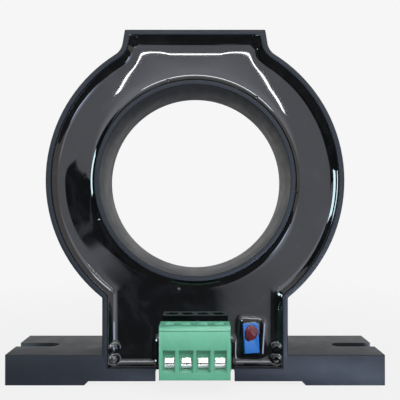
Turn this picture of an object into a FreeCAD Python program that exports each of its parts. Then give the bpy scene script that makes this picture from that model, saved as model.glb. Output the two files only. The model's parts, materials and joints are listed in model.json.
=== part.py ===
import FreeCAD, Part
import os
import re
import Sketcher

# Ring-shaped current sensor on two slotted feet, with a plug-in screw terminal and a trimmer.
# The origin is on the bore's axis at the middle of the housing's depth. The open, potted side
# with the terminal faces -Y, +Z is up, and lengths are in millimetres.

SIZES = {
    # Housing: one moulded tray, open at the front
    "bore_radius": 30.0,
    "tube_wall": 1.6,
    "ring_room": 13.55,
    "wall": 1.6,
    "back_wall": 2.0,
    "base_width": 118.6,
    "foot_thick": 9.5,
    "floor_rise": 5.3,
    "neck_round": 0.8,
    "foot_round": 0.5,
    "head_proud": 0.5,
    "head_width": 44.0,
    "head_flare": 1.125,
    "head_blend": 5.0,
    "head_round": 0.4,
    "rim_break": 0.2,
    "relief_width": 66.6,
    "relief_rise": 1.3,
    # Open-ended mounting slots in the feet
    "slot_width": 5.5,
    "slot_spacing": 97.0,
    # Notch under the terminal
    "notch_width": 24.8,
    "notch_depth": 14.5,
    "notch_room": 3.4,
    "notch_floor": 1.5,
    # Locating posts and board ledges inside the tray
    "post_radius": 1.2,
    "post_proud": 0.5,
    "post_inset": 1.8,
    "lower_post_rise": 11.0,
    "post_step": 3.5,
    "upper_post_drop": 2.8,
    "upper_post_inset": 2.6,
    "ledge_width": 3.0,
    "ledge_inset": 6.9,
    "ledge_height": 17.0,
    # Epoxy fill with its meniscus
    "potting_drop": 3.5,
    "meniscus_height": 1.5,
    "meniscus_land": 0.25,
    "trimmer_room": 0.5,
    # Circuit board
    "board_thick": 1.6,
    "board_gap": 0.4,
    "board_margin": 2.8,
    "board_tube_gap": 6.7,
    "board_lift": 0.4,
    # Pin header
    "ways": 4,
    "pitch": 5.08,
    "terminal_rise": 4.4,
    "header_setback": 0.1,
    "header_height": 12.0,
    "header_width": 8.6,
    "header_margin": 2.3,
    "header_wall": 1.0,
    "socket_depth": 8.8,
    "pin_size": 1.0,
    "pin_tail": 1.4,
    "pin_reach": 7.0,
    # Plug
    "plug_gap": 0.1,
    "plug_block": 10.5,
    "plug_height": 15.9,
    "plug_margin": 0.9,
    "tongue_end_gap": 1.2,
    "tongue_gap": 0.3,
    "plug_bevel": 0.6,
    "plug_groove": 0.25,
    "plug_round": 0.25,
    "plug_shoulder": 6.4,
    "plug_back_slope": 1.5,
    "window_width": 4.2,
    "end_window_width": 3.7,
    "window_rise": 2.3,
    "window_height": 6.6,
    "window_depth": 2.6,
    "entry_width": 3.1,
    "entry_height": 3.5,
    "entry_rise": 2.6,
    "chamber_gap": 0.1,
    "chamber_wall": 0.5,
    "chamber_floor": 0.4,
    # Clamp cage, its screw and the contact
    "cage_width": 3.6,
    "cage_depth": 3.4,
    "cage_height": 7.4,
    "cage_floor": 1.3,
    "cage_side": 0.3,
    "cage_top": 1.8,
    "cage_travel": 2.2,
    "cage_round": 0.35,
    "slit": 0.35,
    "tail_thick": 1.65,
    "tail_width": 2.7,
    "screw_radius": 1.25,
    "thread_gap": 0.05,
    "head_radius": 1.9,
    "head_height": 1.8,
    "head_sink": 1.0,
    "head_gap": 0.15,
    "head_slot_width": 0.8,
    "head_slot_depth": 0.9,
    "tip_gap": 0.1,
    "point_chamfer": 0.4,
    "screw_turn": 35.0,
    "contact_gap": 0.3,
    "contact_wall": 1.3,
    "socket_width": 2.4,
    "socket_height": 2.8,
    "pin_gap": 0.1,
    "channel_gap": 0.2,
    # Trimmer
    "trimmer_length": 9.5,
    "trimmer_width": 4.8,
    "trimmer_proud": 0.3,
    "trimmer_gap": 3.99,
    "trimmer_side_gap": 7.3,
    "trimmer_rise": 14.3,
    "trimmer_tilt": 3.5,
    "trimmer_round": 0.3,
    "adjuster_radius": 1.1,
    "adjuster_inset": 3.0,
    "adjuster_length": 1.6,
    "adjuster_proud": 0.35,
    "adjuster_slot": 0.4,
    "seal_width": 3.8,
    "seal_length": 5.2,
    "seal_height": 0.9,
    "seal_round": 1.5,
    "seal_break": 0.5,
    "lead_radius": 0.3,
    "lead_spacing": 2.54,
    # Cores, windings and shield inside the potting
    "shield_gap": 1.0,
    "shield_wall": 0.6,
    "shield_depth": 11.6,
    "shield_back_gap": 0.4,
    "shield_board_gap": 2.3,
    "lid_thick": 0.8,
    "coil_gap": 0.2,
    "feedback_build": 1.2,
    "drive_build": 0.8,
    # Components on the board
    "row_rise": 4.5,
    "chip_shift": 4.0,
    "regulator_inset": 12.8,
    "capacitor_inset": 7.0,
    "capacitor_step": 7.0,
    "resistor_rise": 5.4,
    "resistor_step": 3.5,
    "chip_length": 5.0,
    "chip_width": 4.0,
    "chip_height": 1.5,
    "regulator_length": 6.6,
    "regulator_width": 6.1,
    "regulator_height": 2.3,
    "capacitor_radius": 3.15,
    "capacitor_height": 5.8,
    "resistor_length": 2.0,
    "resistor_width": 1.25,
    "resistor_height": 0.6,
    "resistor_count": 6,
}

# Places worked out from the sizes
BOARD_TOP_RISE = "(terminal_rise + header_width + row_rise + resistor_rise + board_margin)"
TUBE = "(bore_radius + tube_wall)"
BASE_DROP = f"({TUBE} + board_tube_gap + {BOARD_TOP_RISE})"
FRONT_DEPTH = "(header_setback + header_height + board_thick)"
BODY_DEPTH = f"({FRONT_DEPTH} + shield_board_gap + shield_depth + shield_back_gap + back_wall)"
FRONT = f"(-{BODY_DEPTH} / 2)"
BACK = f"({BODY_DEPTH} / 2 - back_wall)"
FEET = f"(-{BASE_DROP})"
FOOT_TOP = f"(foot_thick - {BASE_DROP})"
FLOOR = f"(floor_rise - {BASE_DROP})"
RING_INNER = f"({TUBE} + ring_room)"
RING = f"({RING_INNER} + wall)"
HEAD_RISE = f"({RING} + head_proud)"
HALF_HEAD = "(head_width / 2)"
HALF_SPREAD = f"({HALF_HEAD} + head_flare)"
HEADER_LENGTH = "(ways * pitch + header_margin)"
TRIMMER_SHIFT = f"({HEADER_LENGTH} / 2 + trimmer_gap + trimmer_width / 2)"
NECK_INNER = f"({TRIMMER_SHIFT} + trimmer_width / 2 + trimmer_side_gap)"
HALF_NECK = f"({NECK_INNER} + wall)"
LEVEL = f"({FRONT} + potting_drop)"
HEADER_RIM = f"({FRONT} + header_setback)"
BOARD_FRONT = f"({HEADER_RIM} + header_height)"
BOARD_BACK = f"({BOARD_FRONT} + board_thick)"
TERMINAL_FLOOR = f"(terminal_rise - {BASE_DROP})"
PLUG_WIDTH = "(ways * pitch + plug_margin)"
BOARD_LOW = f"({FLOOR} + board_lift)"
BOARD_WIDTH = f"(2 * ({NECK_INNER} - post_inset - post_radius - board_gap))"
PIN_LINE = f"({TERMINAL_FLOOR} + header_width / 2)"
PIN_FRONT = f"({HEADER_RIM} + socket_depth - pin_reach)"
PLUG_BACK = f"({HEADER_RIM} - plug_gap)"
PLUG_FRONT = f"({PLUG_BACK} - plug_block)"
PLUG_TOP = f"({TERMINAL_FLOOR} + plug_height)"
CHAMBER_FRONT = f"({PLUG_FRONT} + window_depth + chamber_wall)"
SCREW_LINE = f"({CHAMBER_FRONT} + chamber_gap + cage_depth / 2)"
CAGE_BOTTOM = f"({TERMINAL_FLOOR} + chamber_floor + chamber_gap + cage_travel)"
CAGE_TOP = f"({CAGE_BOTTOM} + cage_height)"
TAIL_BOTTOM = f"({CAGE_BOTTOM} + cage_floor + slit)"
TAIL_TOP = f"({TAIL_BOTTOM} + tail_thick)"
TONGUE_END = f"({HEADER_RIM} + socket_depth - tongue_end_gap)"
TRIMMER_LINE = f"(trimmer_rise - {BASE_DROP})"
TRIMMER_TOP = f"({LEVEL} - meniscus_height - trimmer_proud)"
SHIELD_BACK = f"({BACK} - shield_back_gap)"
SHIELD_INNER = f"({TUBE} + shield_gap)"
SHIELD_OUTER = f"({RING_INNER} - shield_gap)"
COMPONENT_LINE = f"({TERMINAL_FLOOR} + header_width + row_rise)"
BOARD_HEIGHT = f"({BOARD_TOP_RISE} - floor_rise - board_lift)"
WAYS = range(int(SIZES["ways"]))

doc = FreeCAD.newDocument("leakage_current_sensor")
sheet = doc.addObject("Spreadsheet::Sheet", "sizes")
parts = []


def fill_sheet():
    for row, (name, size) in enumerate(SIZES.items(), start=1):
        sheet.set(f"A{row}", name)
        sheet.set(f"B{row}", str(size))
        sheet.setAlias(f"B{row}", name)
    doc.recompute()


def bound(text):
    """The text as an expression that reads its names from the sheet."""
    return re.sub(r"[a-z_]+", lambda word: f"sizes.{word[0]}" if word[0] in SIZES else word[0], text)


def number(text):
    """The value of an expression written with the sheet's names."""
    return float(sheet.evalExpression(text))


def bind(item, prop, text):
    item.setExpression(prop, bound(text))


def keep(item, name):
    """Names a finished sub-part and puts it on the list to be written."""
    item.Label = name
    parts.append(item)
    return item


# Sketches and features

def new_body(name):
    return doc.addObject("PartDesign::Body", name)


def new_sketch(body, plane, height="0"):
    """A sketch on a plane of the body's own origin, moved along that plane's normal."""
    sketch = body.newObject("Sketcher::SketchObject", body.Name + "_sketch")
    support = next(item for item in body.Origin.OriginFeatures if item.Role == plane)
    sketch.AttachmentSupport = (support, [""])
    sketch.MapMode = "FlatFace"
    bind(sketch, "AttachmentOffset.Base.z", height)
    return sketch


def front_sketch(body, depth_place):
    """A sketch facing the front, at a place along Y."""
    return new_sketch(body, "XZ_Plane", f"-({depth_place})")


def pin_point(sketch, shape, point, place):
    for kind, text in zip(("DistanceX", "DistanceY"), place):
        index = sketch.addConstraint(Sketcher.Constraint(kind, -1, 1, shape, point, number(text)))
        bind(sketch, f"Constraints[{index}]", text)


def add_arc(sketch, start, middle, end):
    """An arc drawn anticlockwise. Returns it with the numbers of its points at start and end."""
    turn = (middle - start).cross(end - middle).z
    first, last = (start, end) if turn > 0 else (end, start)
    shape = sketch.addGeometry(Part.Arc(first, middle, last), False)
    return shape, (1, 2) if turn > 0 else (2, 1)


def outline(sketch, corners, arcs=None):
    """A closed outline through corners. arcs gives, for a stretch by its number, the radius of an
    arc about the origin in place of the straight line."""
    arcs = arcs or {}
    places = [FreeCAD.Vector(number(x), number(y), 0) for x, y in corners]
    shapes = []
    for i, start in enumerate(places):
        end = places[(i + 1) % len(places)]
        if i in arcs:
            middle = (start + end).normalize() * number(arcs[i])
            shapes.append(add_arc(sketch, start, middle, end))
        else:
            line = sketch.addGeometry(Part.LineSegment(start, end), False)
            shapes.append((line, (1, 2)))
    for i, (shape, ends) in enumerate(shapes):
        following, following_ends = shapes[(i + 1) % len(shapes)]
        join = Sketcher.Constraint("Coincident", shape, ends[1], following, following_ends[0])
        sketch.addConstraint(join)
        pin_point(sketch, shape, ends[0], corners[i])
        if i in arcs:
            index = sketch.addConstraint(Sketcher.Constraint("Radius", shape, number(arcs[i])))
            bind(sketch, f"Constraints[{index}]", arcs[i])


def rectangle(sketch, left, right, low, high):
    outline(sketch, [(left, low), (right, low), (right, high), (left, high)])


def centred_rectangle(sketch, x, y, width, height):
    rectangle(
        sketch,
        f"{x} - ({width}) / 2",
        f"{x} + ({width}) / 2",
        f"{y} - ({height}) / 2",
        f"{y} + ({height}) / 2",
    )


def circle(sketch, x, y, radius):
    centre = FreeCAD.Vector(number(x), number(y), 0)
    round_shape = Part.Circle(centre, FreeCAD.Vector(0, 0, 1), number(radius))
    shape = sketch.addGeometry(round_shape, False)
    pin_point(sketch, shape, 3, (x, y))
    index = sketch.addConstraint(Sketcher.Constraint("Radius", shape, number(radius)))
    bind(sketch, f"Constraints[{index}]", radius)


def add(kind, sketch, length, reverse=False, symmetric=False):
    """A pad or a pocket. A pad follows the sketch's normal and a pocket runs against it."""
    body = sketch.getParentGeoFeatureGroup()
    feature = body.newObject(f"PartDesign::{kind}", f"{body.Name}_{kind.lower()}")
    feature.Profile = sketch
    feature.Reversed = reverse
    feature.SideType = "Symmetric" if symmetric else "One side"
    bind(feature, "Length", length)
    sketch.Visibility = False
    return feature


def pad(sketch, length, **options):
    return add("Pad", sketch, length, **options)


def pocket(sketch, length, **options):
    return add("Pocket", sketch, length, **options)


def dress_edges(body, kind, wanted):
    """A fillet or a chamfer on the body's edges that the test picks."""
    doc.recompute()
    base = body.Tip
    names = [f"Edge{i}" for i, edge in enumerate(base.Shape.Edges, start=1) if wanted(edge)]
    if not names:
        raise RuntimeError(f"{body.Name}: no edge to dress")
    feature = body.newObject(f"PartDesign::{kind}", f"{body.Name}_{kind.lower()}")
    feature.Base = (base, names)
    return feature


def round_edges(body, radius, wanted):
    bind(dress_edges(body, "Fillet", wanted), "Radius", radius)


def break_edges(body, size, wanted):
    bind(dress_edges(body, "Chamfer", wanted), "Size", size)


def runs_along(edge, axis):
    """True for a straight edge along one axis, 0 for X, 1 for Y and 2 for Z."""
    if len(edge.Vertexes) != 2:
        return False
    step = edge.Vertexes[1].Point - edge.Vertexes[0].Point
    return abs(abs(step[axis]) - edge.Length) < 1e-6 and edge.Length > 1e-6


def along_depth_at(x, z):
    """A test for edges along Y at a place seen from the front, on either side."""

    def wanted(edge):
        point = edge.Vertexes[0].Point
        close = abs(abs(point.x) - number(x)) < 1e-3 and abs(point.z - number(z)) < 1e-3
        return close and runs_along(edge, 1)

    return wanted


def in_plane(y):
    """A test for edges that lie in a plane facing the front."""

    def wanted(edge):
        box = edge.BoundBox
        return abs(box.YMin - number(y)) < 1e-4 and abs(box.YMax - number(y)) < 1e-4

    return wanted


# Primitives

def box(name, x, y, z, size):
    """A block with its middle at x and z, and its low Y side at y."""
    item = doc.addObject("Part::Box", name)
    width, depth, height = size
    bind(item, "Length", width)
    bind(item, "Width", depth)
    bind(item, "Height", height)
    bind(item, "Placement.Base.x", f"{x} - ({width}) / 2")
    bind(item, "Placement.Base.y", y)
    bind(item, "Placement.Base.z", f"{z} - ({height}) / 2")
    return item


def rod(name, x, z, back, radius, length):
    """A cylinder along Y that runs forward from its back face."""
    item = doc.addObject("Part::Cylinder", name)
    item.Placement = FreeCAD.Placement(FreeCAD.Vector(), FreeCAD.Rotation(FreeCAD.Vector(1, 0, 0), 90))
    bind(item, "Radius", radius)
    bind(item, "Height", length)
    bind(item, "Placement.Base.x", x)
    bind(item, "Placement.Base.y", back)
    bind(item, "Placement.Base.z", z)
    return item


def cut(name, base, tool):
    item = doc.addObject("Part::Cut", name)
    item.Base = base
    item.Tool = tool
    return item


def fuse(name, items):
    item = doc.addObject("Part::MultiFuse", name)
    item.Shapes = items
    return item


def ring(name, outer, inner, back, depth):
    """A plain ring about the bore's axis that runs forward from its back face."""
    solid = rod(name + "_outer", "0", "0", back, outer, depth)
    hole = rod(name + "_inner", "0", "0", back, inner, depth)
    return cut(name, solid, hole)


def hollow_ring(name, sides, wall, open_front=False):
    """A ring with a hollow of the same shape inside it, closed or open at the front."""
    outer, inner, back, depth = sides
    whole = ring(name + "_whole", outer, inner, back, depth)
    room = f"({depth}) - ({wall})" if open_front else f"({depth}) - 2 * ({wall})"
    space = ring(name + "_space", f"{outer} - ({wall})", f"{inner} + {wall}", f"{back} - ({wall})", room)
    return cut(name, whole, space)


def way_place(index):
    return f"(({index}) - (ways - 1) / 2) * pitch"


# Housing

def corner_height(radius, x):
    """Height above the bore's axis at which a circle about the axis reaches x."""
    return f"sqrt(({radius})^2 - ({x})^2)"


def housing_outline():
    half_base = "base_width / 2"
    half_relief = "relief_width / 2"
    neck_top = f"-{corner_height(RING, HALF_NECK)}"
    head_foot = corner_height(RING, HALF_SPREAD)
    right = [
        (half_relief, f"{FEET} + relief_rise"),
        (f"{half_relief} + relief_rise", FEET),
        (half_base, FEET),
        (half_base, FOOT_TOP),
        (HALF_NECK, FOOT_TOP),
        (HALF_NECK, neck_top),
        (HALF_SPREAD, head_foot),
        (HALF_HEAD, HEAD_RISE),
    ]
    left = [(f"-({x})", z) for x, z in reversed(right)]
    return right + left, {5: RING, 9: RING}


def cavity_outline(spread="0", floor=FLOOR):
    """Outline of the tray's inside. spread moves its walls outwards."""
    reach = f"({RING_INNER} + {spread})"
    half_neck = f"({NECK_INNER} + {spread})"
    half_spread = f"({HALF_SPREAD} - wall + {spread})"
    half_head = f"({HALF_HEAD} - wall + {spread})"
    right = [
        (half_neck, floor),
        (half_neck, f"-{corner_height(reach, half_neck)}"),
        (half_spread, corner_height(reach, half_spread)),
        (half_head, f"{HEAD_RISE} - wall + {spread}"),
    ]
    left = [(f"-({x})", z) for x, z in reversed(right)]
    return right + left, {1: reach, 5: reach}


def post_places():
    x = f"({NECK_INNER} - post_inset)"
    lower = f"({FEET} + lower_post_rise)"
    upper = f"({HEAD_RISE} - upper_post_drop)"
    upper_x = f"({HALF_HEAD} - upper_post_inset)"
    right = [(x, lower), (x, f"{lower} - post_step"), (upper_x, upper)]
    return right + [(f"-{x}", z) for x, z in right]


def build_housing():
    body = new_body("housing")
    shell = front_sketch(body, "0")
    outline(shell, *housing_outline())
    pad(shell, BODY_DEPTH, symmetric=True)
    neck_top = f"-{corner_height(RING, HALF_NECK)}"
    head_foot = corner_height(RING, HALF_SPREAD)
    round_edges(body, "neck_round", along_depth_at(HALF_NECK, neck_top))
    round_edges(body, "head_blend", along_depth_at(HALF_SPREAD, head_foot))
    round_edges(body, "foot_round", along_depth_at(HALF_NECK, FOOT_TOP))
    round_edges(body, "head_round", along_depth_at(HALF_HEAD, HEAD_RISE))

    cavity = front_sketch(body, FRONT)
    outline(cavity, *cavity_outline())
    circle(cavity, "0", "0", TUBE)
    pocket(cavity, f"{BODY_DEPTH} - back_wall")
    inner_neck = f"-{corner_height(RING_INNER, NECK_INNER)}"
    inner_spread = f"({HALF_SPREAD} - wall)"
    inner_head = corner_height(RING_INNER, inner_spread)
    round_edges(body, "neck_round + wall", along_depth_at(NECK_INNER, inner_neck))
    round_edges(body, "head_blend + wall", along_depth_at(inner_spread, inner_head))

    bore = front_sketch(body, FRONT)
    circle(bore, "0", "0", "bore_radius")
    pocket(bore, BODY_DEPTH)
    break_edges(body, "rim_break", in_plane(FRONT))
    break_edges(body, "rim_break", in_plane(f"{BODY_DEPTH} / 2"))

    posts = front_sketch(body, BACK)
    for x, z in post_places():
        circle(posts, x, z, "post_radius")
    pad(posts, f"{BACK} - {LEVEL} + post_proud")
    ledges = front_sketch(body, BACK)
    for side in ("", "-"):
        centre = f"{side}({NECK_INNER} - ledge_inset + ledge_width / 2)"
        centred_rectangle(ledges, centre, f"{FLOOR} + ledge_height / 2 - wall / 2", "ledge_width",
                          "ledge_height + wall")
    pad(ledges, f"{BACK} - {BOARD_BACK}")

    notch = front_sketch(body, FRONT)
    rectangle(notch, "-notch_width / 2", "notch_width / 2", f"{FEET} - relief_rise", FLOOR)
    pocket(notch, "notch_depth")
    room = front_sketch(body, f"{FRONT} + wall")
    half_room = "(notch_width / 2 + notch_room)"
    rectangle(room, f"-{half_room}", half_room, f"{FEET} - relief_rise", f"{FLOOR} - notch_floor")
    pocket(room, "notch_depth - wall")
    slots = new_sketch(body, "XY_Plane", FOOT_TOP)
    for side in (1, -1):
        slot_outline(slots, side)
    pocket(slots, "foot_thick")
    return keep(body, "housing")


def slot_outline(sketch, side):
    """A slot with a round inner end, open at the foot's outer end."""
    sign = "" if side > 0 else "-"
    inner = f"{sign}slot_spacing / 2"
    outer = f"{sign}(base_width / 2 + slot_width)"
    corners = [
        (inner, "slot_width / 2"),
        (outer, "slot_width / 2"),
        (outer, "-slot_width / 2"),
        (inner, "-slot_width / 2"),
    ]
    places = [FreeCAD.Vector(number(x), number(y), 0) for x, y in corners]
    tip = FreeCAD.Vector(number(inner) - side * number("slot_width / 2"), 0, 0)
    lines = [sketch.addGeometry(Part.LineSegment(*pair), False) for pair in zip(places, places[1:])]
    arc, (first, last) = add_arc(sketch, places[3], tip, places[0])
    for line, place in zip(lines, corners):
        pin_point(sketch, line, 1, place)
    pin_point(sketch, lines[2], 2, corners[3])
    joins = [(lines[0], 2, lines[1], 1), (lines[1], 2, lines[2], 1), (lines[2], 2, arc, first)]
    for join in joins + [(arc, last, lines[0], 1)]:
        sketch.addConstraint(Sketcher.Constraint("Coincident", *join))
    index = sketch.addConstraint(Sketcher.Constraint("DistanceX", -1, 1, arc, 3, number(inner)))
    bind(sketch, f"Constraints[{index}]", inner)


# Epoxy fill

def build_potting(inserts):
    """The fill, cast round the inserts, with a concave rise where it wets each wall."""
    body = new_body("potting_fill")
    block = front_sketch(body, BACK)
    outline(block, *cavity_outline(spread="wall / 2"))
    circle(block, "0", "0", f"{TUBE} - tube_wall / 2")
    pad(block, f"{BACK} - {LEVEL} + meniscus_height")
    dish = front_sketch(body, f"{LEVEL} - meniscus_height")
    floor = f"({FLOOR} + meniscus_land)"
    walls, arcs = cavity_outline(spread="-meniscus_land", floor=floor)
    half_header = f"({HEADER_LENGTH} / 2 + meniscus_land)"
    header_top = f"({TERMINAL_FLOOR} + header_width + meniscus_land)"
    right = [(half_header, floor), (half_header, header_top)]
    left = [(f"-{x}", z) for x, z in right]
    outline(dish, walls + left + right[::-1], arcs)
    circle(dish, "0", "0", f"{TUBE} + meniscus_land")
    centred_rectangle(dish, TRIMMER_SHIFT, TRIMMER_LINE, "trimmer_width + 2 * trimmer_room",
                      "trimmer_length + 2 * trimmer_room")
    pocket(dish, "meniscus_height")
    break_edges(body, "meniscus_height - meniscus_land", in_plane(LEVEL))
    hollow = fuse("potting_inserts", inserts)
    return keep(cut("potting", body, hollow), "potting")


# Circuit board with the parts soldered to it

def build_board():
    body = new_body("circuit_board")
    plate = front_sketch(body, BOARD_BACK)
    centred_rectangle(plate, "0", f"{BOARD_LOW} + {BOARD_HEIGHT} / 2", BOARD_WIDTH, BOARD_HEIGHT)
    pad(plate, "board_thick")
    holes = front_sketch(body, BOARD_BACK)
    for way in WAYS:
        centred_rectangle(holes, way_place(way), PIN_LINE, "pin_size", "pin_size")
    for x, z in lead_places():
        circle(holes, x, z, "lead_radius")
    pocket(holes, "board_thick", reverse=True)
    return keep(body, "circuit_board")


def on_board(name, x, z, size):
    """A component's body that stands on the board's front face."""
    return keep(box(name, x, f"{BOARD_FRONT} - ({size[1]})", z, size), name)


def build_components():
    chip = ("chip_length", "chip_height", "chip_width")
    regulator = ("regulator_length", "regulator_height", "regulator_width")
    items = [
        on_board("amplifier_chip", "-chip_shift", COMPONENT_LINE, chip),
        on_board("driver_chip", "chip_shift", COMPONENT_LINE, chip),
        on_board("regulator", f"{BOARD_WIDTH} / 2 - regulator_inset", COMPONENT_LINE, regulator),
    ]
    for i, z in enumerate((COMPONENT_LINE, f"({COMPONENT_LINE} - capacitor_step)"), start=1):
        name = f"capacitor_{i}"
        x = f"capacitor_inset - {BOARD_WIDTH} / 2"
        body = rod(name, x, z, BOARD_FRONT, "capacitor_radius", "capacitor_height")
        items.append(keep(body, name))
    resistors = []
    for i in range(int(SIZES["resistor_count"])):
        x = f"({i} - (resistor_count - 1) / 2) * resistor_step"
        size = ("resistor_length", "resistor_height", "resistor_width")
        place = f"{COMPONENT_LINE} + resistor_rise"
        resistors.append(box(f"resistor_{i}", x, f"{BOARD_FRONT} - resistor_height", place, size))
    items.append(keep(group("resistors", resistors), "resistors"))
    return items


def group(name, items):
    item = doc.addObject("Part::Compound", name)
    item.Links = items
    return item


# Pin header

def build_header():
    body = new_body("terminal_header")
    block = front_sketch(body, BOARD_FRONT)
    centred_rectangle(block, "0", PIN_LINE, HEADER_LENGTH, "header_width")
    pad(block, "header_height")
    socket = front_sketch(body, HEADER_RIM)
    length = f"{HEADER_LENGTH} - 2 * header_wall"
    centred_rectangle(socket, "0", PIN_LINE, length, "header_width - 2 * header_wall")
    pocket(socket, "socket_depth")
    holes = front_sketch(body, BOARD_FRONT)
    for way in WAYS:
        centred_rectangle(holes, way_place(way), PIN_LINE, "pin_size", "pin_size")
    pocket(holes, "header_height - socket_depth", reverse=True)
    return keep(body, "terminal_header")


def build_pin(way):
    name = f"header_pin_{way + 1}"
    size = ("pin_size", f"({BOARD_BACK} + pin_tail - {PIN_FRONT})", "pin_size")
    return keep(box(name, way_place(way), PIN_FRONT, PIN_LINE, size), name)


# Plug

def build_plug():
    """The plug's moulded body, hollowed for four clamp cages, their screws and the contacts."""
    body = new_body("plug_body")
    side = new_sketch(body, "YZ_Plane")
    outline(side, [
        (PLUG_FRONT, TERMINAL_FLOOR),
        (PLUG_BACK, TERMINAL_FLOOR),
        (PLUG_BACK, f"{PLUG_TOP} - plug_shoulder"),
        (f"{PLUG_BACK} - plug_back_slope", PLUG_TOP),
        (f"{PLUG_FRONT} + plug_bevel", PLUG_TOP),
        (PLUG_FRONT, f"{PLUG_TOP} - 2 * plug_bevel"),
    ])
    pad(side, PLUG_WIDTH, symmetric=True)
    round_edges(body, "plug_round", in_plane(PLUG_FRONT))
    tongue = front_sketch(body, PLUG_BACK)
    width = f"{HEADER_LENGTH} - 2 * header_wall - 2 * tongue_gap"
    height = "header_width - 2 * header_wall - 2 * tongue_gap"
    centred_rectangle(tongue, "0", PIN_LINE, width, height)
    pad(tongue, f"{TONGUE_END} - {PLUG_BACK}", reverse=True)

    windows = front_sketch(body, PLUG_FRONT)
    entries = front_sketch(body, PLUG_FRONT)
    for way in WAYS:
        at_end = way in (WAYS[0], WAYS[-1])
        opening = "end_window_width" if at_end else "window_width"
        middle = f"{TERMINAL_FLOOR} + window_rise + window_height / 2"
        centred_rectangle(windows, way_place(way), middle, opening, "window_height")
        middle = f"{TERMINAL_FLOOR} + entry_rise + entry_height / 2"
        centred_rectangle(entries, way_place(way), middle, "entry_width", "entry_height")
    pocket(windows, "window_depth")
    pocket(entries, "window_depth + chamber_wall + chamber_gap")
    groove = front_sketch(body, PLUG_FRONT)
    foot = f"{PLUG_TOP} - 2 * plug_bevel"
    rectangle(groove, f"-{PLUG_WIDTH}", PLUG_WIDTH, f"{foot} - 1.2 * plug_groove", foot)
    pocket(groove, "plug_groove")

    chambers = new_sketch(body, "XY_Plane", f"{CAGE_TOP} + chamber_gap")
    heads = new_sketch(body, "XY_Plane", PLUG_TOP)
    shanks = new_sketch(body, "XY_Plane", PLUG_TOP)
    channels = front_sketch(body, TONGUE_END)
    for way in WAYS:
        x = way_place(way)
        room = ("cage_width + 2 * chamber_gap", "cage_depth + 2 * chamber_gap")
        centred_rectangle(chambers, x, SCREW_LINE, *room)
        circle(heads, x, SCREW_LINE, "head_radius + head_gap")
        circle(shanks, x, SCREW_LINE, "screw_radius + head_gap")
        half = "(socket_width / 2 + channel_gap)"
        low = f"{PIN_LINE} - socket_height / 2 - channel_gap"
        rectangle(channels, f"{x} - {half}", f"{x} + {half}", low, f"{TAIL_TOP} + channel_gap")
    pocket(chambers, "cage_height + cage_travel + 2 * chamber_gap")
    pocket(heads, "head_sink + head_height")
    pocket(shanks, f"{PLUG_TOP} - {CAGE_TOP}")
    pocket(channels, f"{TONGUE_END} - {SCREW_LINE}", reverse=True)
    return keep(body, "plug_body")


def build_contact(way):
    """A tail inside the clamp cage that leads to a socket round the header's pin."""
    name = f"contact_{way + 1}"
    x = way_place(way)
    tail_front = f"({CHAMBER_FRONT} + contact_gap)"
    tail_size = ("tail_width", f"({PIN_FRONT} - 2 * contact_gap - {tail_front})", "tail_thick")
    tail = box(name + "_tail", x, tail_front, f"{TAIL_BOTTOM} + tail_thick / 2", tail_size)
    socket_front = f"({PIN_FRONT} - contact_gap - contact_wall)"
    socket_size = ("socket_width", f"({TONGUE_END} - contact_gap - {socket_front})", "socket_height")
    socket = box(name + "_socket", x, socket_front, PIN_LINE, socket_size)
    bore_front = f"({PIN_FRONT} - contact_gap)"
    hole = "(pin_size + 2 * pin_gap)"
    bore = box(name + "_bore", x, bore_front, PIN_LINE, (hole, f"({TONGUE_END} - {bore_front})", hole))
    return keep(cut(name, fuse(name + "_blank", [tail, socket]), bore), name)


def build_clamp(way):
    """A cage that a screw draws up, so that its floor presses a wire against the contact's tail."""
    body = new_body(f"clamp_{way + 1}")
    x = way_place(way)
    frame = front_sketch(body, f"{SCREW_LINE} + cage_depth / 2")
    rectangle(frame, f"{x} - cage_width / 2", f"{x} + cage_width / 2", CAGE_BOTTOM, CAGE_TOP)
    inner = "(cage_width / 2 - cage_side)"
    rectangle(frame, f"{x} - {inner}", f"{x} + {inner}", f"{CAGE_BOTTOM} + cage_floor",
              f"{CAGE_TOP} - cage_top")
    pad(frame, "cage_depth")

    def outer_edge(edge):
        place = edge.Vertexes[0].Point
        level = min(abs(place.z - number(CAGE_BOTTOM)), abs(place.z - number(CAGE_TOP)))
        return runs_along(edge, 1) and level < 1e-3

    round_edges(body, "cage_round", outer_edge)
    hole = new_sketch(body, "XY_Plane", CAGE_TOP)
    circle(hole, x, SCREW_LINE, "screw_radius + thread_gap")
    pocket(hole, "cage_top")
    return keep(body, f"clamp_{way + 1}")


def build_clamp_screw(way):
    """A slotted screw that turns in place above the contact's tail."""
    body = new_body(f"clamp_screw_{way + 1}")
    turn = FreeCAD.Rotation(FreeCAD.Vector(0, 0, 1), number("screw_turn") * (way + 1))
    body.Placement = FreeCAD.Placement(FreeCAD.Vector(), turn)
    bind(body, "Placement.Base.x", way_place(way))
    bind(body, "Placement.Base.y", SCREW_LINE)
    tip = f"({TAIL_TOP} + tip_gap)"
    top = f"({PLUG_TOP} - head_sink)"
    half = new_sketch(body, "XZ_Plane")
    outline(half, [
        ("0", tip),
        ("screw_radius - point_chamfer", tip),
        ("screw_radius", f"{tip} + point_chamfer"),
        ("screw_radius", f"{top} - head_height"),
        ("head_radius", f"{top} - head_height"),
        ("head_radius", top),
        ("0", top),
    ])
    turned = body.newObject("PartDesign::Revolution", f"{body.Name}_turned")
    turned.Profile = half
    turned.ReferenceAxis = (half, ["V_Axis"])
    turned.Angle = 360
    slot = new_sketch(body, "XY_Plane", top)
    centred_rectangle(slot, "0", "0", "2 * (head_radius + head_gap)", "head_slot_width")
    pocket(slot, "head_slot_depth")
    return keep(body, f"clamp_screw_{way + 1}")


# Trimmer

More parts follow.
